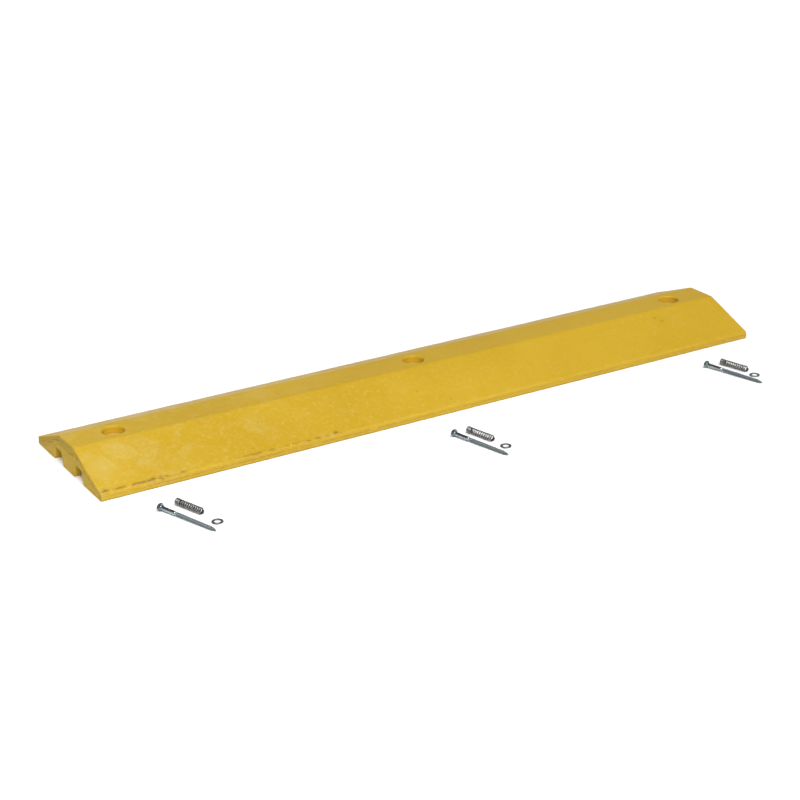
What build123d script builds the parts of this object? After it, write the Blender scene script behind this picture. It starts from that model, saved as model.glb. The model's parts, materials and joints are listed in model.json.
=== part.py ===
from build123d import *
import os
from math import atan2, cos, degrees, radians, sin, tan

# A cable protector ramp: one moulded bar that lies on the ground, with a slope along each side for
# wheels to roll over and two open channels underneath for cables. Three lag screws, each with a coil
# spring that anchors it in the ground and a washer, go with it. They lie loose in front of the ramp.
# Millimetres. +X runs along the ramp, -Y is its front, +Z is up. The origin is on the ground, on the
# axis of the middle bolt hole.

# Ramp body: the outer section
ramp_length = 1219.2
ramp_width = 254.0
ramp_height = 50.8
top_width = 57.15  # the flat between the two slopes
lip_height = 12.7  # the upright edge at the foot of each slope
foot_radius = 3.0
front_lip_radius = 6.0
back_lip_radius = 2.0
crest_radius = 10.0  # where the flat turns into a slope
end_radius = 2.5  # round the outline of each end face

# Ramp body: the two cable channels
channel_spacing = 81.0  # between the channels' centre lines
channel_mouth = 36.0
channel_depth = 22.2
channel_wall_lean = 5.5  # how far each wall leans in from mouth to roof
channel_roof_radius = 4.0
channel_mouth_radius = 3.0

# Ramp body: the bolt holes along the flat
end_hole_inset = 76.2  # from an end hole's axis to the end of the ramp
hole_clearance = 2.65  # the hole over the screw's diameter
counterbore_room = 17.46  # the counterbore over the washer's diameter, for a socket wrench
counterbore_depth = 12.0
counterbore_rim_radius = 2.5

# Lag screw
screw_diameter = 6.35
screw_length = 110.0  # under the head
shank_length = 30.0  # the smooth part under the head
shank_chamfer = 1.2  # length of the step down from the shank to the thread
thread_relief = 0.3  # how much thinner the thread is than the shank
point_length = 9.0
point_end_diameter = 1.4
head_flats = 11.1
head_height = 4.4
head_top_diameter = 10.4  # the flat circle on top of the head
head_chamfer_angle = 30.0

# Coil spring
coil_clearance = 0.55  # inside the coil, over the screw's diameter
coil_wire = 2.0
coil_length = 54.0
coil_open_turns = 10
coil_head_end_turns = 3  # closed turns at the end nearer the screw's head
coil_point_end_turns = 1  # closed turns at the other end
coil_closed_pitch = 2.15  # just over the wire, so closed turns don't touch

# Washer
washer_clearance = 3.65  # the washer's hole over the screw's diameter
washer_diameter = 17.46
washer_thickness = 1.65
washer_edge_radius = 0.4

# Where each loose piece lies: how far along +X from its own bolt hole, how far in front of the ramp's
# front edge, and its heading in degrees from +X. A screw is placed by the centre of its head's
# bearing face, a coil and a washer by their centres.
SCREW_PLACES = {"near": (-13.7, 74.9, -70.5), "middle": (-51, 82.4, -75), "far": (-71.1, 71.5, -75)}
COIL_PLACES = {"near": (22, 92, -72), "middle": (-19, 104.5, -76), "far": (-35.5, 97.5, -75.5)}
WASHER_PLACES = {"near": (38.5, 151, 0), "middle": (-5.5, 156, 0), "far": (-28, 141.5, 0)}

# What follows from the sizes above
end_hole_x = ramp_length / 2 - end_hole_inset
HOLE_X = {"near": -end_hole_x, "middle": 0.0, "far": end_hole_x}
hole_diameter = screw_diameter + hole_clearance
counterbore_diameter = washer_diameter + counterbore_room
thread_diameter = screw_diameter - thread_relief
full_thread_end = screw_length - point_length
coil_inner_diameter = screw_diameter + coil_clearance
coil_outer_diameter = coil_inner_diameter + 2 * coil_wire
washer_hole_diameter = screw_diameter + washer_clearance


def corners_at(sketch, height, front, back):
    """The corners of a section at this height, between these two distances from its middle."""
    return [v for v in sketch.vertices() if abs(v.Y - height) < 0.01 and front < v.X < back]


def lying_at(place, name, height):
    """The point where a loose piece of this set lies, and the level direction that it points in."""
    along, in_front, heading = place[name]
    spot = Vector(HOLE_X[name] + along, -ramp_width / 2 - in_front, height)
    return spot, Vector(cos(radians(heading)), sin(radians(heading)), 0)


def write_piece(part, name):
    """Labels a finished piece and writes it as one STEP file."""
    part.label = name
    export_step(part, f"parts/{name}.step")


os.makedirs("parts", exist_ok=True)

# The ramp body: its section, swept straight along +X, then the bolt holes and the end edges
with BuildPart() as ramp_body:
    with BuildSketch(Plane.YZ.offset(-ramp_length / 2)) as section:
        with BuildLine() as outline:
            Polyline(
                (-ramp_width / 2, 0),
                (-ramp_width / 2, lip_height),
                (-top_width / 2, ramp_height),
                (top_width / 2, ramp_height),
                (ramp_width / 2, lip_height),
                (ramp_width / 2, 0),
                close=True,
            )
        make_face()
        fillet(corners_at(section, ramp_height, -ramp_width, ramp_width), crest_radius)
        fillet(corners_at(section, lip_height, -ramp_width, 0), front_lip_radius)
        fillet(corners_at(section, lip_height, 0, ramp_width), back_lip_radius)
        fillet(corners_at(section, 0, -ramp_width, ramp_width), foot_radius)
        with GridLocations(channel_spacing, 0, 2, 1):
            Trapezoid(
                channel_mouth,
                channel_depth,
                90 - degrees(atan2(channel_wall_lean, channel_depth)),
                align=(Align.CENTER, Align.MIN),
                mode=Mode.SUBTRACT,
            )
        mouths_reach = (channel_spacing + channel_mouth) / 2 + 0.01
        fillet(corners_at(section, channel_depth, -mouths_reach, mouths_reach), channel_roof_radius)
        fillet(corners_at(section, 0, -mouths_reach, mouths_reach), channel_mouth_radius)
    extrude(amount=ramp_length)
    end_edges = ramp_body.edges().group_by(Axis.X)[0] + ramp_body.edges().group_by(Axis.X)[-1]
    fillet(end_edges, end_radius)
    with Locations(*[(x, 0, ramp_height) for x in HOLE_X.values()]):
        CounterBoreHole(hole_diameter / 2, counterbore_diameter / 2, counterbore_depth)
    rims = ramp_body.edges().filter_by(GeomType.CIRCLE).filter_by_position(
        Axis.Z, ramp_height - 0.01, ramp_height + 0.01
    )
    fillet(rims, counterbore_rim_radius)
write_piece(ramp_body.part, "ramp_body")

# A screw on level ground rests on a flat of its head and on the thread where its point begins, so
# it tips down a little towards the point
tip_down = atan2((head_flats - thread_diameter) / 2, full_thread_end)

for name in SCREW_PLACES:
    bearing_centre, level = lying_at(SCREW_PLACES, name, head_flats / 2 * cos(tip_down))
    across = Vector(0, 0, 1).cross(level)
    along = level * cos(tip_down) - Vector(0, 0, sin(tip_down))
    side_plane = Plane(bearing_centre, x_dir=along, z_dir=across)
    head_plane = Plane(bearing_centre, x_dir=across, z_dir=-along)
    screw_axis = Axis(bearing_centre, along)
    with BuildPart() as lag_screw:
        with BuildSketch(head_plane):
            RegularPolygon(head_flats / 2, 6, major_radius=False)
        extrude(amount=head_height)
        with BuildSketch(side_plane):
            with BuildLine():
                blank = head_flats * 0.6
                shoulder = (blank - head_top_diameter / 2) * tan(radians(head_chamfer_angle))
                Polyline(
                    (0, 0),
                    (0, blank),
                    (shoulder - head_height, blank),
                    (-head_height, head_top_diameter / 2),
                    (-head_height, 0),
                    close=True,
                )
            make_face()
        revolve(axis=screw_axis, mode=Mode.INTERSECT)
        with BuildSketch(side_plane):
            with BuildLine():
                Polyline(
                    (0, 0),
                    (0, screw_diameter / 2),
                    (shank_length - shank_chamfer, screw_diameter / 2),
                    (shank_length, thread_diameter / 2),
                    (full_thread_end, thread_diameter / 2),
                    (screw_length, point_end_diameter / 2),
                    (screw_length, 0),
                    close=True,
                )
            make_face()
        revolve(axis=screw_axis)
    write_piece(lag_screw.part, f"lag_screw_{name}")

# A coil lies level on its turns: closed turns at each end, and the open turns between them
head_end_height = coil_head_end_turns * coil_closed_pitch
point_end_height = coil_point_end_turns * coil_closed_pitch
open_height = coil_length - coil_wire - head_end_height - point_end_height

for name in COIL_PLACES:
    coil_centre, along = lying_at(COIL_PLACES, name, coil_outer_diameter / 2)
    helix_radius = (coil_inner_diameter + coil_wire) / 2
    start = coil_centre - along * ((coil_length - coil_wire) / 2)
    with BuildPart() as coil_spring:
        with BuildLine() as wire_path:
            Helix(coil_closed_pitch, head_end_height, helix_radius, start, along)
            Helix(open_height / coil_open_turns, open_height, helix_radius,
                  start + along * head_end_height, along)
            Helix(coil_closed_pitch, point_end_height, helix_radius,
                  start + along * (head_end_height + open_height), along)
        with BuildSketch(Plane(wire_path.line @ 0, z_dir=wire_path.line % 0)):
            Circle(coil_wire / 2)
        sweep(is_frenet=True)
    write_piece(coil_spring.part, f"coil_spring_{name}")

for name in WASHER_PLACES:
    washer_centre, _ = lying_at(WASHER_PLACES, name, 0)
    with BuildPart() as washer:
        with BuildSketch(Plane(washer_centre)):
            Circle(washer_diameter / 2)
            Circle(washer_hole_diameter / 2, mode=Mode.SUBTRACT)
        extrude(amount=washer_thickness)
        outer_edges = washer.edges().filter_by(GeomType.CIRCLE).group_by(SortBy.RADIUS)[-1]
        fillet(outer_edges, washer_edge_radius)
    write_piece(washer.part, f"washer_{name}")
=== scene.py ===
import json
from math import atan2, ceil, cos, hypot, pi, radians, sin, tan

import bmesh
import bpy
from mathutils import Matrix, Vector, noise


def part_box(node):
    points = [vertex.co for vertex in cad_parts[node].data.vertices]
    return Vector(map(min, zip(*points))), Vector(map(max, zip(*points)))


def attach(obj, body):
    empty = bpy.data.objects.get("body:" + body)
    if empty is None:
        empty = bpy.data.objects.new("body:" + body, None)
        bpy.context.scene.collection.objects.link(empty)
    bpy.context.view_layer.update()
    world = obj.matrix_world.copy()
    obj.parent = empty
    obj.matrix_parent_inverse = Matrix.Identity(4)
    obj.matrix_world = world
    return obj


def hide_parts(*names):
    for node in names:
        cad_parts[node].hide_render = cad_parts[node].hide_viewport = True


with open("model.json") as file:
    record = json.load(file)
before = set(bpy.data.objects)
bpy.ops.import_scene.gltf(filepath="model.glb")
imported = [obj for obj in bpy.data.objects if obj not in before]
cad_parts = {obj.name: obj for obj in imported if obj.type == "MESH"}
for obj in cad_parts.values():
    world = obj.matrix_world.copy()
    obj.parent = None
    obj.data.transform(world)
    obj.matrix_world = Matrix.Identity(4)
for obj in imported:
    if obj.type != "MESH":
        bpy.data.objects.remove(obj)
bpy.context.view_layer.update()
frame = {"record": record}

# The look of a cable protector ramp of yellow recycled plastic, and of the three lag screws, coil
# springs and washers that lie in front of it. Metres. +X runs along the ramp, -Y is its front.

MOUNTS = {mount["name"]: mount for mount in frame["record"]["mounts"]}
SETS = ("near", "middle", "far")
mm = 0.001

# The ramp's section
ramp_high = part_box("ramp_body")[1]
half_length = ramp_high.x
half_width = ramp_high.y
ramp_height = ramp_high.z
half_top = 28.575 * mm  # half the flat between the slopes
lip_height = 12.7 * mm
foot_radius = 3 * mm
front_lip_radius = 6 * mm
back_lip_radius = 2 * mm
crest_radius = 10 * mm
end_radius = 1.9 * mm  # round the outline of each end face
channel_centre = 40.5 * mm
half_mouth = 18 * mm
half_roof = 12.5 * mm
channel_depth = 22.2 * mm
channel_roof_radius = 4 * mm
channel_mouth_radius = 3 * mm

# The bolt holes
hole_spacing = MOUNTS["bolt_hole_far"]["pos_m"][0]
bore_radius = MOUNTS["bolt_hole_middle"]["dims"]["r_mm"] * mm
counterbore_radius = MOUNTS["counterbore_middle"]["dims"]["r_mm"] * mm
counterbore_floor = 38.8 * mm  # above the ground
rim_radius = 2.5 * mm
floor_corner = 1.2 * mm
bore_edge = 0.5 * mm  # the chamfer where the floor meets the bore
hole_block = 24 * mm  # half the square of the top that is meshed round a hole
under_block = 16 * mm  # the same for the bottom face

# The ramp's mesh
longest_step = 4.6 * mm
arc_step = radians(20)
closest_columns = 0.4 * mm
lip_steps = (0, 0.1, 0.4, 0.9, 1.6, 2.4, 3.1, 3.9)  # columns near each lip, in mm from its face
layer_step = 0.9 * mm  # between the rows of an end face near its top
layer_rows = 16
deep_rows = 6

# Torn layers on an end face: (depth under the top in mm, half width in mm, strength)
END_LAYERS = (
    (2.6, 0.9, 0.8),
    (5.2, 0.95, 1.0),
    (8.0, 1.0, 0.9),
    (11.0, 1.1, 0.8),
    (14.2, 1.2, 0.6),
)

# Lag screws
screw_radius = 3.175 * mm
screw_length = 110 * mm
shank_length = 30 * mm
thread_radius = 3.025 * mm
thread_root = 2.1 * mm
thread_pitch = 2.54 * mm
thread_run_in = 2.2 * mm  # over which the thread rises to its full depth
point_length = 9 * mm
point_radius = 0.7 * mm
point_blunting = 0.4 * mm
head_flat = 5.55 * mm  # from the axis to a flat
head_height = 4.4 * mm
head_top = 5.2 * mm  # radius of the flat circle on the head
head_slope = tan(radians(30))
head_edge = 0.35 * mm  # rounded off round the bearing face
head_fillet = 0.5 * mm  # between the bearing face and the shank
dish_depth = 0.132 * mm  # of the shallow hollow in the head's top
dish_floor = 3 * mm
dish_rim = 4.2 * mm
screw_sides = 36
shank_rows = 8
thread_rows = 240

# Coil springs
coil_wire_radius = 1 * mm
coil_length = 54 * mm
coil_radius = 4.45 * mm  # to the middle of the wire
coil_open_turns = 10
coil_head_end_turns = 3
coil_point_end_turns = 1
coil_closed_pitch = 2.15 * mm
coil_steps = 32  # along the wire in each turn
wire_sides = 10

# Washers
washer_hole = MOUNTS["washer_hole_near"]["dims"]["r_mm"] * mm
washer_radius = 8.73 * mm
washer_thickness = 1.65 * mm
washer_roll = 0.5 * mm  # the rounding of its upper outer edge
washer_sides = 72


# ---------------------------------------------------------------- mesh helpers


def rounded(corners, step):
    """The points of an open line in a plane whose corners (across, up, radius) are rounded."""
    points = []
    for before, corner, after in zip(corners, corners[1:], corners[2:]):
        here = Vector(corner[:2])
        back = (Vector(before[:2]) - here).normalized()
        ahead = (Vector(after[:2]) - here).normalized()
        half = back.angle(ahead) / 2
        centre = here + (back + ahead).normalized() * corner[2] / sin(half)
        start = here + back * corner[2] / tan(half) - centre
        turn = pi - 2 * half
        if back.cross(ahead) > 0:
            turn = -turn
        count = ceil(abs(turn) / step)
        for index in range(count + 1):
            points.append(centre + Matrix.Rotation(turn * index / count, 2) @ start)
    return points


def divided(points, longest):
    """The same line with its long runs divided."""
    result = [points[0]]
    for start, end in zip(points, points[1:]):
        count = max(1, ceil((end - start).length / longest))
        result += [start.lerp(end, index / count) for index in range(1, count + 1)]
    return result


def filled(values, longest):
    """Sorted numbers with more put between those that are too far apart."""
    result = [values[0]]
    for start, end in zip(values, values[1:]):
        count = max(1, ceil((end - start) / longest - 1e-6))
        result += [start + (end - start) * index / count for index in range(1, count + 1)]
    return result


def thinned(values, shortest):
    """Sorted numbers without those that come too close after another."""
    result = []
    for value in sorted(values):
        if not result or value - result[-1] > shortest:
            result.append(value)
    return result


class Outline:
    """A line over the ramp's width, which gives its height and its outward normal at any y."""

    def __init__(self, corners, outward):
        self.points = rounded(corners, radians(2))
        self.outward = outward

    def at(self, y):
        """The point of the line at this y, and its outward normal there."""
        points = self.points
        index = 0
        while index < len(points) - 2 and points[index + 1].x < y:
            index += 1
        start, end = points[index], points[index + 1]
        share = min(1, max(0, (y - start.x) / max(end.x - start.x, 1e-9)))
        before = points[max(index - 1, 0)]
        after = points[min(index + 2, len(points) - 1)]
        tangent = (end - before).lerp(after - start, share).normalized()
        normal = Vector((0, -tangent.y, tangent.x)) * self.outward
        if y < -half_width + 1e-6:
            normal = Vector((0, -1, 0))
        if y > half_width - 1e-6:
            normal = Vector((0, 1, 0))
        return Vector((0, y, start.lerp(end, share).y)), normal


def new_object(name, bm):
    """An object with this mesh, its normals facing out and its faces smooth."""
    bmesh.ops.recalc_face_normals(bm, faces=bm.faces)
    for face in bm.faces:
        face.smooth = True
    mesh = bpy.data.meshes.new(name)
    bm.to_mesh(mesh)
    bm.free()
    piece = bpy.data.objects.new(name, mesh)
    bpy.context.scene.collection.objects.link(piece)
    return piece


def wall_between(bm, one, other):
    """Four-sided faces between two closed loops with the same number of vertices."""
    for index in range(len(one)):
        ahead = (index + 1) % len(one)
        bm.faces.new((one[index], one[ahead], other[ahead], other[index]))


def skin(name, rings, joined=False, sharp=50, grime=None):
    """A mesh through rings of points, joined end to end or capped, with edges sharp past an angle.

    grime is a value for each point, kept as a vertex attribute for the material: grime on a screw's
    thread, painted shade on a coil's wire.
    """
    bm = bmesh.new()
    layer = bm.verts.layers.float.new("grime")
    loops = [[bm.verts.new(point) for point in ring] for ring in rings]
    for loop, values in zip(loops, grime or []):
        for vert, value in zip(loop, values):
            vert[layer] = value
    pairs = list(zip(loops, loops[1:]))
    if joined:
        pairs.append((loops[-1], loops[0]))
    else:
        bm.faces.new(loops[0])
        bm.faces.new(loops[-1])
    for one, other in pairs:
        wall_between(bm, one, other)
    piece = new_object(name, bm)
    piece.data.set_sharp_from_angle(angle=radians(sharp))
    return piece


def axes_of(mount):
    """A mount's point, its axis, and two directions across it, right-handed about the axis."""
    point = Vector(MOUNTS[mount]["pos_m"])
    along = Vector(MOUNTS[mount]["axis"]).normalized()
    side = Vector((0, 0, 1)).cross(along).normalized()
    return point, along, side, along.cross(side)


# ---------------------------------------------------------------- the ramp's mesh

TOP = Outline(
    [
        (-half_width, 0, 0),
        (-half_width, lip_height, front_lip_radius),
        (-half_top, ramp_height, crest_radius),
        (half_top, ramp_height, crest_radius),
        (half_width, lip_height, back_lip_radius),
        (half_width, 0, 0),
    ],
    1,
)


def bottom_corners():
    """The corners of the ramp's underside, from the front lip over both channels to the back lip."""
    corners = [(-half_width, lip_height, 0), (-half_width, 0, foot_radius)]
    for centre in (-channel_centre, channel_centre):
        corners += [
            (centre - half_mouth, 0, channel_mouth_radius),
            (centre - half_roof, channel_depth, channel_roof_radius),
            (centre + half_roof, channel_depth, channel_roof_radius),
            (centre + half_mouth, 0, channel_mouth_radius),
        ]
    return corners + [(half_width, 0, foot_radius), (half_width, lip_height, 0)]


BOTTOM = Outline(bottom_corners(), -1)


def ramp_columns():
    """The y of each lengthwise line of the mesh, from the front to the back."""
    lip_reach = half_width - lip_steps[-1] * mm
    under = divided(rounded(bottom_corners(), arc_step), longest_step)
    inner = [point.x for point in under if abs(point.x) < lip_reach - longest_step / 2]
    inner += [-hole_block, hole_block, -under_block, under_block]
    slope_angle = atan2(ramp_height - lip_height, half_width - half_top)
    crest_reach = crest_radius * tan(slope_angle / 4)  # halfway round the crest's arc
    inner += [side * (half_top + share * crest_reach) for side in (-1, 1) for share in (-1, 0, 1)]
    inner = thinned(inner, closest_columns)
    lips = [half_width - step * mm for step in lip_steps]
    return filled(sorted([-y for y in lips] + inner + lips), longest_step)


def ramp_stations():
    """(x, inset) of each cross-section of the mesh. The inset rounds the ends' outlines."""
    ends = []
    for index in range(5):
        turn = radians(22.5 * index)
        ends.append((end_radius * (1 - cos(turn)), end_radius * (1 - sin(turn))))
    inner = [-half_length + end_radius, half_length - end_radius]
    for name in SETS:
        hole_x = MOUNTS[f"bolt_hole_{name}"]["pos_m"][0]
        inner += [hole_x + offset for offset in (-hole_block, -under_block, under_block, hole_block)]
    middle = [(x, 0) for x in filled(sorted(inner), longest_step)[1:-1]]
    near = [(-half_length + reach, inset) for reach, inset in ends]
    far = [(half_length - reach, inset) for reach, inset in reversed(ends)]
    return near + middle + far


def row_shares():
    """How far each row of an end face is below its top, as a share of the face's height there."""
    depths = [layer_step * index for index in range(layer_rows + 1)]
    rest = ramp_height - depths[-1]
    depths += [depths[-1] + rest * index / deep_rows for index in range(1, deep_rows + 1)]
    return [depth / ramp_height for depth in depths]


def waviness(point):
    """How far the moulded surface lies below its true shape, from 0 to about 0.5 mm."""
    broad = noise.noise(point * 14) * 0.22 + noise.noise(point * 37 + Vector((3, 1, 7))) * 0.14
    fine = noise.noise(point * 120) * 0.05
    return max(0, 0.25 + broad + fine) * mm


def nicks(point):
    """Small knocks along the front lip's upper edge."""
    edge = hypot(point.y + half_width, point.z - lip_height)
    near_edge = max(0, 1 - edge / (7 * mm))
    strength = noise.noise(Vector((point.x * 70, 2, 5))) - 0.3
    return max(0, strength) * near_edge * 1.5 * mm


def end_grooves(point, depth):
    """How far an end face is cut in, and how much of that is a torn layer that follows the top."""
    layers = 0
    for level, width, cut in END_LAYERS:
        wander = noise.noise(Vector((point.y * 9, level, 1))) * 0.5
        strength = 0.75 + 0.5 * noise.noise(Vector((point.y * 30, level, 3)))
        gap = (depth / mm - level - wander) / width
        layers += cut * strength * max(0, 1 - gap * gap)
    layers *= 0.35 + 0.65 * min(1, max(0, (point.y + 0.075) / 0.06))
    grain = noise.fractal(Vector((point.y * 240, point.z * 420, 0)), 0.9, 2.1, 3) * 0.12
    broad = noise.noise(Vector((point.y * 50, point.z * 60, 4))) * 0.25
    return max(0, layers * 0.6 + grain + broad + 0.25) * mm, min(1, layers)


def ramp_lattice(bm):
    """The ramp's outer skin as a dictionary of vertices, keyed by (station, column, row)."""
    stations, columns, shares = ramp_stations(), ramp_columns(), row_shares()
    last = (len(stations) - 1, len(columns) - 1, len(shares) - 1)
    tops = [TOP.at(y) for y in columns]
    bottoms = [BOTTOM.at(y) for y in columns]
    torn = bm.verts.layers.float.new("torn")
    verts = {}
    for i, (x, inset) in enumerate(stations):
        for j in range(len(columns)):
            (top, top_normal), (bottom, bottom_normal) = tops[j], bottoms[j]
            upper = top - top_normal * inset
            lower = bottom - bottom_normal * inset
            on_cap = i in (0, last[0]) or j in (0, last[1])
            for k in range(len(shares)) if on_cap else (0, last[2]):
                point = upper.lerp(lower, shares[k])
                point.x = x
                layer = 0
                if k == 0:
                    point -= top_normal * (waviness(point) + nicks(point))
                elif i in (0, last[0]) and 0 < j < last[1] and k < last[2]:
                    cut, layer = end_grooves(point, upper.z - point.z)
                    point.x += cut if i == 0 else -cut
                elif j in (0, last[1]) and k < last[2]:
                    fade = min(1, 4 * shares[k], 4 * (1 - shares[k]))
                    point.y += waviness(point) * fade * (1 if j == 0 else -1)
                verts[i, j, k] = bm.verts.new(point)
                verts[i, j, k][torn] = layer
    return verts, last, stations, columns


def within(values, index, centre, reach):
    """Whether the mesh cell from this line to the next lies within reach of a centre."""
    low, high = values[index] - centre, values[index + 1] - centre
    return low > -reach - 1e-6 and high < reach + 1e-6


def round_block(verts, i_range, j_range, k):
    """The vertices round a block of the lattice's top or bottom, in order."""
    i0, i1, j0, j1 = i_range[0], i_range[-1] + 1, j_range[0], j_range[-1] + 1
    keys = [(i, j0) for i in range(i0, i1)] + [(i1, j) for j in range(j0, j1)]
    keys += [(i, j1) for i in range(i1, i0, -1)] + [(i0, j) for j in range(j1, j0, -1)]
    return [verts[i, j, k] for i, j in keys]


def hole_profile():
    """(radius, z) down a bolt hole: its rim, wall, floor and bore."""
    rim = []
    for index in range(7):
        turn = radians(15 * index)
        radius = counterbore_radius + rim_radius * (1 - sin(turn))
        rim.append((radius, ramp_height - rim_radius * (1 - cos(turn))))
    high, low = rim[-1][1], counterbore_floor + floor_corner
    wall = [(counterbore_radius, high + (low - high) * share) for share in (0.3, 0.65, 1)]
    corner = []
    for index in (1, 2, 3):
        turn = radians(30 * index)
        radius = counterbore_radius - floor_corner * (1 - cos(turn))
        corner.append((radius, low - floor_corner * sin(turn)))
    outer, inner = counterbore_radius - floor_corner, bore_radius + bore_edge
    reaches = [outer + (inner - outer) * share for share in (0.12, 0.45, 0.8, 1)]
    flat = [(radius, counterbore_floor) for radius in reaches]
    bore = [(bore_radius, z) for z in (counterbore_floor - bore_edge, counterbore_floor / 2, 0)]
    return rim + wall + corner + flat + bore


def make_hole(bm, centre, top_loop, bottom_loop):
    """Fills the gap between two square openings with a counterbored hole."""
    directions = [Vector((vert.co.x - centre, vert.co.y, 0)).normalized() for vert in top_loop]
    loops = [top_loop]
    rim_outer = counterbore_radius + rim_radius
    for share in (0.4, 0.75):
        ring = []
        for vert, direction in zip(top_loop, directions):
            on_rim = Vector((centre, 0, ramp_height)) + direction * rim_outer
            point = Vector((vert.co.x, vert.co.y, ramp_height)).lerp(on_rim, share)
            ring.append(bm.verts.new(point - Vector((0, 0, waviness(point)))))
        loops.append(ring)
    for radius, z in hole_profile():
        ring = []
        for direction in directions:
            point = Vector((centre, 0, z)) + direction * radius
            fade = min(1, z / counterbore_floor)
            point += direction * waviness(point * 1.4) * 0.6 * fade
            if z > ramp_height - rim_radius:
                point.z -= waviness(point)
            ring.append(bm.verts.new(point))
        loops.append(ring)
    for one, other in zip(loops, loops[1:]):
        wall_between(bm, one, other)
    edges = []
    for loop in (loops[-1], bottom_loop):
        for vert, ahead in zip(loop, loop[1:] + loop[:1]):
            edges.append(bm.edges.get((vert, ahead)))
    bmesh.ops.bridge_loops(bm, edges=edges)


def make_ramp():
    """The ramp's skin: its top, underside, lips and ends, then the bolt holes."""
    bm = bmesh.new()
    verts, last, stations, columns = ramp_lattice(bm)
    xs = [station[0] for station in stations]
    holes = []
    for name in SETS:
        centre = MOUNTS[f"bolt_hole_{name}"]["pos_m"][0]
        blocks = []
        for reach in (hole_block, under_block):
            i_range = [i for i in range(last[0]) if within(xs, i, centre, reach)]
            j_range = [j for j in range(last[1]) if within(columns, j, 0, reach)]
            blocks.append((i_range, j_range))
        holes.append((centre, blocks))
    skipped = {0: set(), last[2]: set()}
    for centre, (top_block, bottom_block) in holes:
        skipped[0] |= {(i, j) for i in top_block[0] for j in top_block[1]}
        skipped[last[2]] |= {(i, j) for i in bottom_block[0] for j in bottom_block[1]}

    def face(*corners):
        bm.faces.new([verts[key] for key in corners])

    for i in range(last[0]):
        for j in range(last[1]):
            for k in (0, last[2]):
                if (i, j) not in skipped[k]:
                    face((i, j, k), (i + 1, j, k), (i + 1, j + 1, k), (i, j + 1, k))
    for i in range(last[0]):
        for j in (0, last[1]):
            for k in range(last[2]):
                face((i, j, k), (i + 1, j, k), (i + 1, j, k + 1), (i, j, k + 1))
    for i in (0, last[0]):
        for j in range(last[1]):
            for k in range(last[2]):
                face((i, j, k), (i, j + 1, k), (i, j + 1, k + 1), (i, j, k + 1))
    for centre, (top_block, bottom_block) in holes:
        top_loop = round_block(verts, *top_block, 0)
        bottom_loop = round_block(verts, *bottom_block, last[2])
        make_hole(bm, centre, top_loop, bottom_loop)
    loose = [vert for vert in bm.verts if not vert.link_faces]
    bmesh.ops.delete(bm, geom=loose, context="VERTS")
    return new_object("ramp_moulding", bm)


# ---------------------------------------------------------------- the hardware's meshes


def hexagon(turn, flat):
    """The radius of a hexagon with slightly worn corners."""
    sector = (turn + pi / 6) % (pi / 3) - pi / 6
    return min(flat / cos(sector), flat * 1.135)


def full_thread(turn, place):
    """The radius of the thread where it is full: narrow crests on a wide root, right-handed."""
    phase = (place / thread_pitch - turn / (2 * pi)) % 1
    crest = max(0, 1 - abs(phase - 0.5) / 0.34)
    return thread_root + (thread_radius - thread_root) * min(1, crest * 1.15) ** 1.2


def screw_outline():
    """(place along the axis from under the head, function from the turn to a radius) down a screw."""
    def circle(radius):
        return lambda turn: radius

    def head_side(share):
        return lambda turn: hexagon(turn, head_flat) * share

    dish_place = dish_depth - head_height
    rows = [(dish_place, circle(0.6 * mm)), (dish_place, circle(dish_floor))]
    rows += [(-head_height, circle(dish_rim)), (-head_height, circle(head_top))]
    rows += [("chamfer", head_side(1)), (-head_edge, head_side(1)), (0, head_side(0.97))]
    for index in range(4):
        turn = radians(30 * index)
        radius = screw_radius + head_fillet * (1 - sin(turn))
        rows.append((head_fillet * (1 - cos(turn)), circle(radius)))
    for index in range(1, shank_rows + 1):
        rows.append(((shank_length - 2 * mm) * index / shank_rows, circle(screw_radius)))
    rows.append((shank_length - 1.5 * mm, circle(screw_radius - 0.1 * mm)))
    rows.append((shank_length - 0.6 * mm, circle(thread_root + 0.25 * mm)))
    return rows


def make_screw(name):
    """A hexagon-head lag screw along its mount's axis, which points out through the head."""
    bearing, out, side, up = axes_of(f"screw_head_{name}")
    turns = [2 * pi * index / screw_sides for index in range(screw_sides)]

    def ring(place_at, radius_at):
        points = []
        for turn in turns:
            spoke = up * cos(turn) + side * sin(turn)
            points.append(bearing - out * place_at(turn) + spoke * radius_at(turn))
        return points

    def chamfer(turn):
        return -head_height + (hexagon(turn, head_flat) - head_top) * head_slope

    rings = []
    grime = []
    for place, radius_at in screw_outline():
        grime.append([0] * screw_sides)
        rings.append(ring(chamfer if place == "chamfer" else lambda turn: place, radius_at))
    thread_length = screw_length - point_blunting - shank_length
    for index in range(thread_rows + 1):
        place = shank_length + thread_length * index / thread_rows
        taper = min(1, (screw_length - place) / point_length)
        grow = min(1, (place - shank_length) / thread_run_in)

        def radius_at(turn):
            crest = full_thread(turn, place) - thread_root
            core = point_radius * (1 - taper) + thread_root * taper
            return core + crest * grow * min(1, taper * 1.2)

        rings.append(ring(lambda turn: place, radius_at))
        depths = [(thread_radius - radius_at(turn)) / (thread_radius - thread_root) for turn in turns]
        grime.append([grow * (0.7 + 0.3 * min(1, depth)) for depth in depths])
    piece = skin(f"screw_{name}", rings, sharp=38, grime=grime)
    piece.data.materials.append(SCREW_FINISH)
    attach(piece, f"lag_screw_{name}")
    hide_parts(f"lag_screw_{name}")


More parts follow.
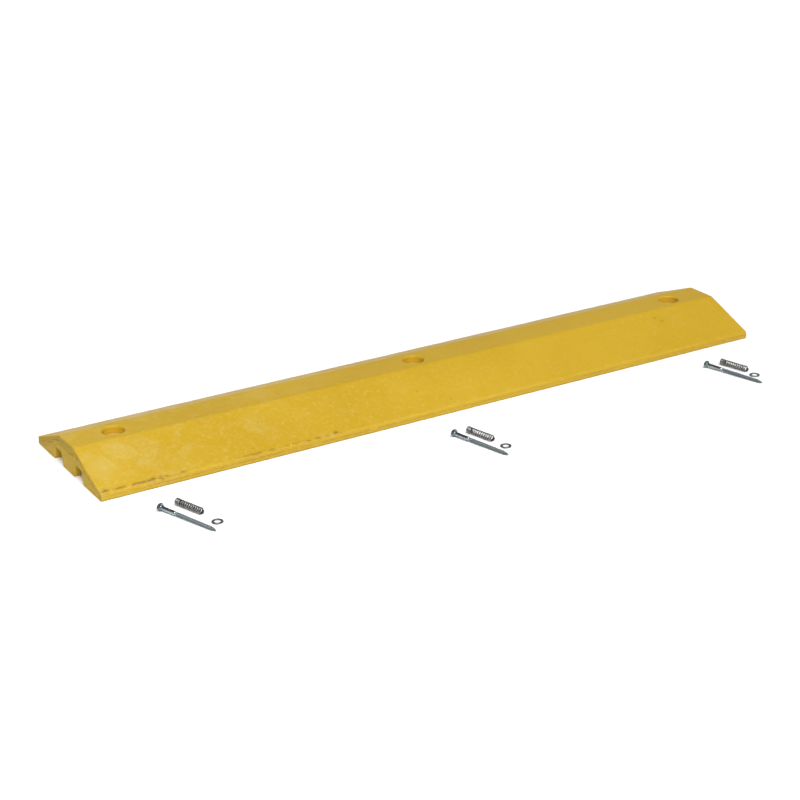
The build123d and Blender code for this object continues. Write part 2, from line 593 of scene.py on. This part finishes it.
def coil_rise(turns):
    """How far along its axis a coil's wire has gone after some turns: closed, open, closed."""
    closed_length = (coil_head_end_turns + coil_point_end_turns) * coil_closed_pitch
    open_pitch = (coil_length - 2 * coil_wire_radius - closed_length) / coil_open_turns
    rise = coil_closed_pitch * min(turns, coil_head_end_turns)
    rise += open_pitch * min(max(turns - coil_head_end_turns, 0), coil_open_turns)
    return rise + coil_closed_pitch * max(turns - coil_head_end_turns - coil_open_turns, 0)


def make_coil(name):
    """A coil spring of round wire along its mount's axis, wound right-handed."""
    centre, along, side, up = axes_of(f"coil_bore_{name}")
    total = coil_head_end_turns + coil_open_turns + coil_point_end_turns
    path = []
    for index in range(total * coil_steps + 1):
        turns = index / coil_steps
        around = [coil_rise(min(max(turns + shift, 0), total)) for shift in (-0.12, 0, 0.12)]
        at_end = turns < 0.2 or turns > total - 0.2
        rise = around[1] if at_end else sum(around) / 3  # eased where the pitch changes
        spoke = side * cos(2 * pi * turns) + up * sin(2 * pi * turns)
        place = rise - coil_length / 2 + coil_wire_radius
        path.append((centre + along * place + spoke * coil_radius, spoke))
    rings = []
    grime = []
    for index, (point, spoke) in enumerate(path):
        ahead = path[min(index + 1, len(path) - 1)][0]
        back = path[max(index - 1, 0)][0]
        other = (ahead - back).normalized().cross(spoke).normalized()
        edge = min(index, len(path) - 1 - index)
        radius = coil_wire_radius * (0.8 if edge == 0 else 1)
        turns = [2 * pi * number / wire_sides for number in range(wire_sides)]
        rings.append([point + (spoke * cos(turn) + other * sin(turn)) * radius for turn in turns])
        # Painted shade: darkest on the inner side of the wire, which faces the coil's axis, and
        # partly dark on the sides that face the next turns.
        grime.append([min(1, max(0, 0.35 - 1.5 * cos(turn))) for turn in turns])
    piece = skin(f"coil_{name}", rings, grime=grime)
    piece.data.materials.append(COIL_FINISH)
    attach(piece, f"coil_spring_{name}")
    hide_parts(f"coil_spring_{name}")


def make_washer(name):
    """A stamped flat washer, rolled over at its upper edges and sharper underneath."""
    centre = Vector(MOUNTS[f"washer_hole_{name}"]["pos_m"])
    half = washer_thickness / 2
    profile = [(washer_hole + 0.25 * mm, half), (washer_hole + 1.2 * mm, half)]
    profile += [(washer_radius - 1.2 * mm, half)]
    for index in range(5, -1, -1):
        turn = radians(18 * index)
        radius = washer_radius - washer_roll * (1 - cos(turn))
        profile.append((radius, half - washer_roll * (1 - sin(turn))))
    edge = 0.15 * mm
    profile += [(washer_radius, 0), (washer_radius, edge - half), (washer_radius - edge, -half)]
    profile += [(washer_hole + edge, -half), (washer_hole, edge - half)]
    profile += [(washer_hole, half - 0.3 * mm)]
    rings = []
    for index in range(washer_sides):
        turn = 2 * pi * index / washer_sides
        spoke = Vector((cos(turn), sin(turn), 0))
        rings.append([centre + spoke * radius + Vector((0, 0, z)) for radius, z in profile])
    piece = skin(f"flat_washer_{name}", rings, joined=True, sharp=45)
    piece.data.materials.append(WASHER_FINISH)
    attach(piece, f"washer_{name}")
    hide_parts(f"washer_{name}")


# ---------------------------------------------------------------- materials


# Marks on the plastic: (x, y, z, reach) in mm
LIP_SPOTS = (
    (-600, -123, 14, 9),
    (-524, -123, 14, 8),
    (-511, -124, 14, 8),
    (-215, -122, 14.5, 7),
    (-246, -124, 14, 6),
)
SLOPE_SPECKS = (
    (-256, -10, 50.8, 5),
    (3, -113, 18, 4),
    (-42, -80, 31, 4),
    (466, -48, 43.5, 6),
    (474, -58, 39.5, 6),
)
SWIRL = (-543, -64, 37, 66)  # a broken swirl in the near end's slope
RUBBED_CORNER = (-587, -78, 31, 36)
SCRATCH = (-572, -66, 36, 42)
scratch_x = -0.5956  # where the scratch would cross the ramp's middle line
scratch_slant = 0.35
swirl_centre = (-0.555, -0.075, 0)

# Colours of the plastic
DEEP = (0.445, 0.275, 0.0100, 1)
PLAIN = (0.490, 0.312, 0.0160, 1)
PALE = (0.550, 0.385, 0.060, 1)
DUSTY = (0.520, 0.392, 0.110, 1)
WARM = (0.64, 0.385, 0.018, 1)  # where one part of it lights another
SHADED = (0.27, 0.165, 0.006, 1)
OLIVE = (0.330, 0.225, 0.012, 1)
UMBER = (0.215, 0.135, 0.010, 1)
BROWN = (0.170, 0.085, 0.016, 1)

# Colours of the metals: dark and light blotches, and the darkest colour: grime on the screw's thread,
# painted shade on the coil's wire
ZINC = (0.22, 0.26, 0.275, 1), (0.40, 0.45, 0.47, 1)
ZINC_GRIME = (0.135, 0.165, 0.175, 1)
SPRING_STEEL = (0.18, 0.18, 0.176, 1), (0.32, 0.318, 0.31, 1)
# Painted shade for the inner side of each coil's wire
SPRING_INNER_SHADE = (0.035, 0.035, 0.034, 1)
DULL_ZINC = (0.20, 0.205, 0.20, 1), (0.30, 0.305, 0.30, 1)


class Finish:
    """A material built from nodes, in the piece's own coordinates, in metres."""

    def __init__(self, name):
        self.material = bpy.data.materials.new(name)
        self.material.use_nodes = True
        self.tree = self.material.node_tree
        self.shader = self.tree.nodes["Principled BSDF"]
        self.place = self.node("ShaderNodeTexCoord").outputs["Object"]

    def node(self, kind, **settings):
        """A new node with these properties."""
        node = self.tree.nodes.new(kind)
        for key, value in settings.items():
            setattr(node, key, value)
        return node

    def link(self, value, socket):
        """Feeds a socket from another node's output, or sets it to a plain value."""
        if isinstance(value, bpy.types.NodeSocket):
            self.tree.links.new(value, socket)
        else:
            socket.default_value = value

    def noise(self, scale, detail=3, roughness=0.55, distortion=0, vector=None):
        """Cloudy values round 0.5, finer as the scale grows."""
        node = self.node("ShaderNodeTexNoise")
        node.inputs["Scale"].default_value = scale
        node.inputs["Detail"].default_value = detail
        node.inputs["Roughness"].default_value = roughness
        node.inputs["Distortion"].default_value = distortion
        self.link(vector or self.place, node.inputs["Vector"])
        return node.outputs["Fac"]

    def stretched(self, scale, turn=(0, 0, 0)):
        """Coordinates scaled along each axis, for a noise of scale 1."""
        node = self.node("ShaderNodeMapping")
        node.inputs["Scale"].default_value = scale
        node.inputs["Rotation"].default_value = turn
        self.link(self.place, node.inputs["Vector"])
        return node.outputs["Vector"]

    def measured_from(self, centre):
        """Coordinates from this centre."""
        node = self.node("ShaderNodeVectorMath", operation="SUBTRACT")
        self.link(self.place, node.inputs[0])
        node.inputs[1].default_value = centre
        return node.outputs["Vector"]

    def math(self, operation, one, other=0.0):
        node = self.node("ShaderNodeMath", operation=operation)
        self.link(one, node.inputs[0])
        self.link(other, node.inputs[1])
        return node.outputs[0]

    def share(self, mask, most):
        """A mask, brought down to at most this much."""
        return self.math("MULTIPLY", mask, most)

    def gap(self, value, level):
        """How far a value is from a level, without its sign."""
        return self.math("ABSOLUTE", self.math("SUBTRACT", value, level))

    def band(self, value, low, high, to_low=0.0, to_high=1.0):
        """value brought smoothly from low..high to to_low..to_high, and held there outside."""
        node = self.node("ShaderNodeMapRange", interpolation_type="SMOOTHSTEP")
        for number, wanted in enumerate((value, low, high, to_low, to_high)):
            self.link(wanted, node.inputs[number])
        return node.outputs[0]

    def blend(self, share, one, other):
        """One colour with this share of the other over it."""
        node = self.node("ShaderNodeMix", data_type="RGBA")
        self.link(share, node.inputs[0])
        self.link(one, node.inputs[6])
        self.link(other, node.inputs[7])
        return node.outputs[2]

    def bump(self, height, distance, strength, normal=None):
        """A normal roughened by a height, over another such normal if there is one."""
        node = self.node("ShaderNodeBump")
        node.inputs["Strength"].default_value = strength
        node.inputs["Distance"].default_value = distance
        self.link(height, node.inputs["Height"])
        if normal:
            self.link(normal, node.inputs["Normal"])
        return node.outputs["Normal"]

    def coordinates(self):
        """The x, y and z of each place on the piece."""
        node = self.node("ShaderNodeSeparateXYZ")
        self.link(self.place, node.inputs[0])
        return node.outputs[0], node.outputs[1], node.outputs[2]

    def spot(self, x, y, z, reach):
        """1 at a point, falling to 0 at a distance."""
        node = self.node("ShaderNodeVectorMath", operation="DISTANCE")
        self.link(self.place, node.inputs[0])
        node.inputs[1].default_value = (x * mm, y * mm, z * mm)
        return self.band(node.outputs["Value"], 0.0, reach * mm, 1.0, 0.0)


def plastic_grain(finish, x, mottle):
    """The moulded plastic's colour: broad clouds, slanting flow streaks, and pale grains."""
    clouds = finish.noise(4, 3, 0.5, 0.3)
    colour = finish.blend(finish.band(clouds, 0.35, 0.65), DEEP, PLAIN)
    colour = finish.blend(finish.band(x, -0.2, 0.5, 0.0, 0.55), colour, DEEP)
    slanted = finish.stretched((45, 12, 45), (0, 0, radians(35)))
    streaks = finish.noise(1, 4, 0.6, 0.4, slanted)
    colour = finish.blend(finish.share(finish.band(streaks, 0.5, 0.75), 0.4), colour, DEEP)
    most = finish.band(x, -0.3, 0.3, 0.6, 0.35)
    colour = finish.blend(finish.share(finish.band(mottle, 0.48, 0.75), most), colour, PALE)
    grains = finish.noise(520, 3, 0.6)
    return finish.blend(finish.share(finish.band(grains, 0.52, 0.78), 0.35), colour, PALE)


def plastic_wear(finish, colour, x, y):
    """Dust and scuffs, strongest at the near end. Gives the colour, and how rubbed each place is."""
    dust = finish.noise(26, 5, 0.7, 0.8)
    near_end = finish.band(x, -0.62, 0.05, 1.0, 0.12)
    dusted = finish.share(finish.band(dust, 0.45, 0.72), near_end)
    colour = finish.blend(finish.share(dusted, 0.45), colour, DUSTY)
    rings = finish.node("ShaderNodeTexWave", wave_type="RINGS", rings_direction="Z")
    for key, value in (("Scale", 34), ("Distortion", 16), ("Detail", 4), ("Detail Scale", 2.2)):
        rings.inputs[key].default_value = value
    finish.link(finish.measured_from(swirl_centre), rings.inputs["Vector"])
    swirl = finish.band(rings.outputs["Fac"], 0.2, 0.9, 0.35, 1.0)
    swirl = finish.share(swirl, finish.spot(*SWIRL))
    swirl = finish.share(swirl, finish.band(dust, 0.35, 0.6, 0.3, 1.0))
    corner = finish.share(finish.spot(*RUBBED_CORNER), 0.35)
    rubbed = finish.math("ADD", finish.share(swirl, 0.42), corner)
    colour = finish.blend(rubbed, colour, DUSTY)
    slanted = finish.math("ADD", x, finish.share(y, scratch_slant))
    scratch = finish.gap(slanted, scratch_x)
    scratch = finish.band(scratch, 0.4 * mm, 1.6 * mm, 1.0, 0.0)
    scratch = finish.share(scratch, finish.spot(*SCRATCH))
    return finish.blend(finish.share(scratch, 0.6), colour, PALE), rubbed


def plastic_dirt(finish, x, y):
    """Dirt in broken runs along the top of the front lip, and specks, as one mask."""
    lip_line = 3.8 * mm - half_width
    edge = finish.band(finish.gap(y, lip_line), 0.6 * mm, 3.4 * mm, 1.0, 0.0)
    broken = finish.band(finish.noise(70, 3, 0.6, 0.4), 0.42, 0.6)
    near_run = finish.band(x, -0.50, -0.44, 1.0, 0.0)
    next_run = finish.share(finish.band(x, -0.40, -0.36), finish.band(x, -0.26, -0.17, 0.8, 0.0))
    runs = finish.math("ADD", finish.math("ADD", near_run, next_run), 0.12)
    marks = finish.share(finish.share(finish.share(edge, broken), runs), 0.6)
    ragged = finish.noise(1, 3, 0.6, 0.6, finish.stretched((110, 330, 330)))
    ragged = finish.band(ragged, 0.42, 0.56)
    for places, most in ((LIP_SPOTS, 0.8), (SLOPE_SPECKS, 0.45)):
        for place in places:
            spot = finish.share(finish.spot(*place), ragged)
            marks = finish.math("MAXIMUM", marks, finish.share(spot, most))
    specks = finish.band(finish.noise(95, 2, 0.4), 0.74, 0.82)
    return finish.math("MAXIMUM", marks, finish.share(specks, 0.3))


def counterbore_masks(finish, x, y, z):
    """Masks of the counterbores' walls, and of the painted shade at the foot of each wall."""
    folded = finish.math("ABSOLUTE", x)
    folded = finish.math("MINIMUM", folded, finish.gap(folded, hole_spacing))
    squares = [finish.math("MULTIPLY", value, value) for value in (folded, y)]
    from_axis = finish.math("SQRT", finish.math("ADD", *squares))
    radius = counterbore_radius
    inside = finish.band(from_axis, radius + 1 * mm, radius + 2 * mm, 1.0, 0.0)
    low = finish.band(z, counterbore_floor + 0.3 * mm, counterbore_floor + 2.6 * mm, 1.0, 0.0)
    outer = finish.band(from_axis, radius - 2.6 * mm, radius)
    foot_shade = finish.share(finish.share(outer, low), inside)
    under_rim = finish.band(z, ramp_height - 3 * mm, ramp_height - 1.2 * mm, 1.0, 0.0)
    upright = finish.band(from_axis, radius - 2 * mm, radius - 0.7 * mm)
    wall = finish.share(finish.share(upright, inside), under_rim)
    return wall, foot_shade


def yellow_plastic():
    """Moulded recycled plastic: mottled, scuffed at its near end, dirty along its lip."""
    finish = Finish("yellow_recycled_plastic")
    x, y, z = finish.coordinates()
    mottle = finish.noise(160, 4, 0.65, 0.5)
    colour = plastic_grain(finish, x, mottle)
    colour, rubbed = plastic_wear(finish, colour, x, y)
    marks = plastic_dirt(finish, x, y)

    wall, foot_shade = counterbore_masks(finish, x, y, z)
    colour = finish.blend(finish.share(wall, 0.6), colour, WARM)
    # The foot of each counterbore wall gets painted shade, in the same brown as the dirt.
    marks = finish.math("MAXIMUM", marks, finish.share(foot_shade, 0.62))
    from_middle = finish.math("ABSOLUTE", y)
    on_lips = finish.band(from_middle, half_width - 3.5 * mm, half_width - 0.8 * mm)
    below = finish.band(z, lip_height - 3.7 * mm, lip_height - 0.2 * mm, 1.0, 0.4)
    low_lips = finish.share(on_lips, below)
    colour = finish.blend(finish.share(low_lips, 0.16), colour, SHADED)
    colour = finish.blend(marks, colour, BROWN)

    # The sawn end faces are darker and greener, with dark torn layers
    torn = finish.node("ShaderNodeAttribute", attribute_name="torn").outputs["Fac"]
    from_centre = finish.math("ABSOLUTE", x)
    ends = finish.band(from_centre, half_length - 1.6 * mm, half_length - 0.2 * mm)
    sawn = finish.stretched((300, 60, 330), (radians(-40), 0, 0))
    grit = finish.band(finish.noise(1, 5, 0.7, 0.3, sawn), 0.38, 0.62, 0.15, 1.0)
    colour = finish.blend(finish.share(finish.share(ends, grit), 0.62), colour, OLIVE)
    colour = finish.blend(finish.share(torn, 0.8), colour, UMBER)

    finish.link(colour, finish.shader.inputs["Base Color"])
    rough = finish.math("ADD", finish.band(mottle, 0.3, 0.7, 0.44, 0.56), finish.share(ends, 0.25))
    rough = finish.math("ADD", rough, finish.share(rubbed, 0.25))
    finish.link(rough, finish.shader.inputs["Roughness"])
    normal = finish.bump(finish.noise(300, 4, 0.6), 0.25 * mm, 0.5)
    normal = finish.bump(finish.noise(60, 3, 0.5), 0.8 * mm, 0.3, normal)
    finish.link(normal, finish.shader.inputs["Normal"])
    finish.shader.inputs["Specular IOR Level"].default_value = 0.3
    return finish.material


def metal(name, colours, roughness, scale, soiled_and_shaded=None):
    """Plated or bare metal with fine blotches. Its grime attribute, if it has one, darkens it: grime
    on a screw, painted shade on a coil.
    """
    finish = Finish(name)
    blotches = finish.noise(scale, 4, 0.6, 0.5)
    fine = finish.noise(scale * 7, 3, 0.6)
    mixed = finish.math("ADD", finish.share(blotches, 0.7), finish.share(fine, 0.3))
    colour = finish.blend(finish.band(mixed, 0.35, 0.65), *colours)
    rough = finish.band(mixed, 0.3, 0.7, *roughness)
    if soiled_and_shaded:
        grime = finish.node("ShaderNodeAttribute", attribute_name="grime").outputs["Fac"]
        colour = finish.blend(grime, colour, soiled_and_shaded)
        rough = finish.math("ADD", rough, finish.share(grime, 0.25))
    finish.link(colour, finish.shader.inputs["Base Color"])
    finish.shader.inputs["Metallic"].default_value = 1.0
    finish.link(rough, finish.shader.inputs["Roughness"])
    finish.link(finish.bump(fine, 0.05 * mm, 0.5), finish.shader.inputs["Normal"])
    return finish.material


def pale_floor():
    """The floor's paint, with barely seen clouds."""
    finish = Finish("pale_floor")
    cloud = finish.noise(3, 3)
    colour = finish.blend(cloud, (0.92, 0.92, 0.92, 1), (0.94, 0.94, 0.94, 1))
    finish.link(colour, finish.shader.inputs["Base Color"])
    finish.shader.inputs["Roughness"].default_value = 0.9
    finish.shader.inputs["Specular IOR Level"].default_value = 0.1
    return finish.material


PLASTIC = yellow_plastic()
SCREW_FINISH = metal("zinc_plated_screw", ZINC, (0.16, 0.3), 300, ZINC_GRIME)
COIL_FINISH = metal("spring_steel_coil", SPRING_STEEL, (0.26, 0.4), 400, SPRING_INNER_SHADE)
WASHER_FINISH = metal("zinc_plated_washer", DULL_ZINC, (0.35, 0.5), 350)

ramp = make_ramp()
ramp.data.materials.append(PLASTIC)
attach(ramp, "ramp")
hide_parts("ramp_body")

for name in SETS:
    make_screw(name)
    make_coil(name)
    make_washer(name)


# ---------------------------------------------------------------- floor, light and camera


def make_floor():
    """A pale floor so wide that its edge meets the pale horizon."""
    reach = 40
    bm = bmesh.new()
    corners = ((-reach, -reach), (reach, -reach), (reach, reach), (-reach, reach))
    bm.faces.new([bm.verts.new((x, y, 0)) for x, y in corners])
    floor = new_object("floor", bm)
    floor.data.materials.append(pale_floor())


def add_light(name, kind, energy, place, target, **settings):
    """A light at a place that shines at a target."""
    data = bpy.data.lights.new(name, kind)
    data.energy = energy
    for key, value in settings.items():
        setattr(data, key, value)
    light = bpy.data.objects.new(name, data)
    aim = (Vector(target) - Vector(place)).to_track_quat("-Z", "Y")
    light.matrix_world = Matrix.Translation(place) @ aim.to_matrix().to_4x4()
    bpy.context.scene.collection.objects.link(light)


def make_world():
    """A dim studio overhead with a pale wall all round it."""
    world = bpy.data.worlds.new("studio")
    world.use_nodes = True
    tree = world.node_tree
    direction = tree.nodes.new("ShaderNodeTexCoord")
    parts = tree.nodes.new("ShaderNodeSeparateXYZ")
    tree.links.new(direction.outputs["Generated"], parts.inputs[0])
    height = tree.nodes.new("ShaderNodeValToRGB")
    height.color_ramp.interpolation = "EASE"
    stops = ((0.0, 1.0), (0.14, 0.98), (0.34, 0.22), (1.0, 0.08))
    while len(height.color_ramp.elements) < len(stops):
        height.color_ramp.elements.new(0.5)
    for element, (place, value) in zip(height.color_ramp.elements, stops):
        element.position = place
        element.color = (value, value, value, 1)
    tree.links.new(parts.outputs["Z"], height.inputs["Fac"])
    tree.links.new(height.outputs["Color"], tree.nodes["Background"].inputs["Color"])
    bpy.context.scene.world = world


def make_camera():
    """The camera stands to the front left and above, and looks at the middle of the scene."""
    azimuth, elevation, roll = radians(-30.42), radians(22.54), radians(-1.17)
    distance, focal_length, sensor = 3.05603, 83.93, 36
    target = Vector((-0.0461, -0.03295, 0))
    back = Vector((sin(azimuth) * cos(elevation), -cos(azimuth) * cos(elevation), sin(elevation)))
    level = (-back).cross(Vector((0, 0, 1))).normalized()
    upright = level.cross(-back)
    right = level * cos(roll) + upright * sin(roll)
    up = upright * cos(roll) - level * sin(roll)
    camera = bpy.data.objects.new("camera", bpy.data.cameras.new("camera"))
    matrix = Matrix((right, up, back)).transposed().to_4x4()
    matrix.translation = target + back * distance
    camera.matrix_world = matrix
    camera.data.sensor_width = sensor
    camera.data.lens = focal_length
    camera.data.clip_end = 100
    bpy.context.scene.collection.objects.link(camera)
    bpy.context.scene.camera = camera


make_floor()
make_world()
add_light("key", "SUN", 3.3, (-0.3, -1.6, 2.9), (0, 0, 0), angle=radians(35))
add_light("near_fill", "AREA", 26, (-1.6, -1.6, 2.2), (-0.5, 0, 0), size=1.2)
make_camera()
bpy.context.scene.view_settings.view_transform = "Standard"
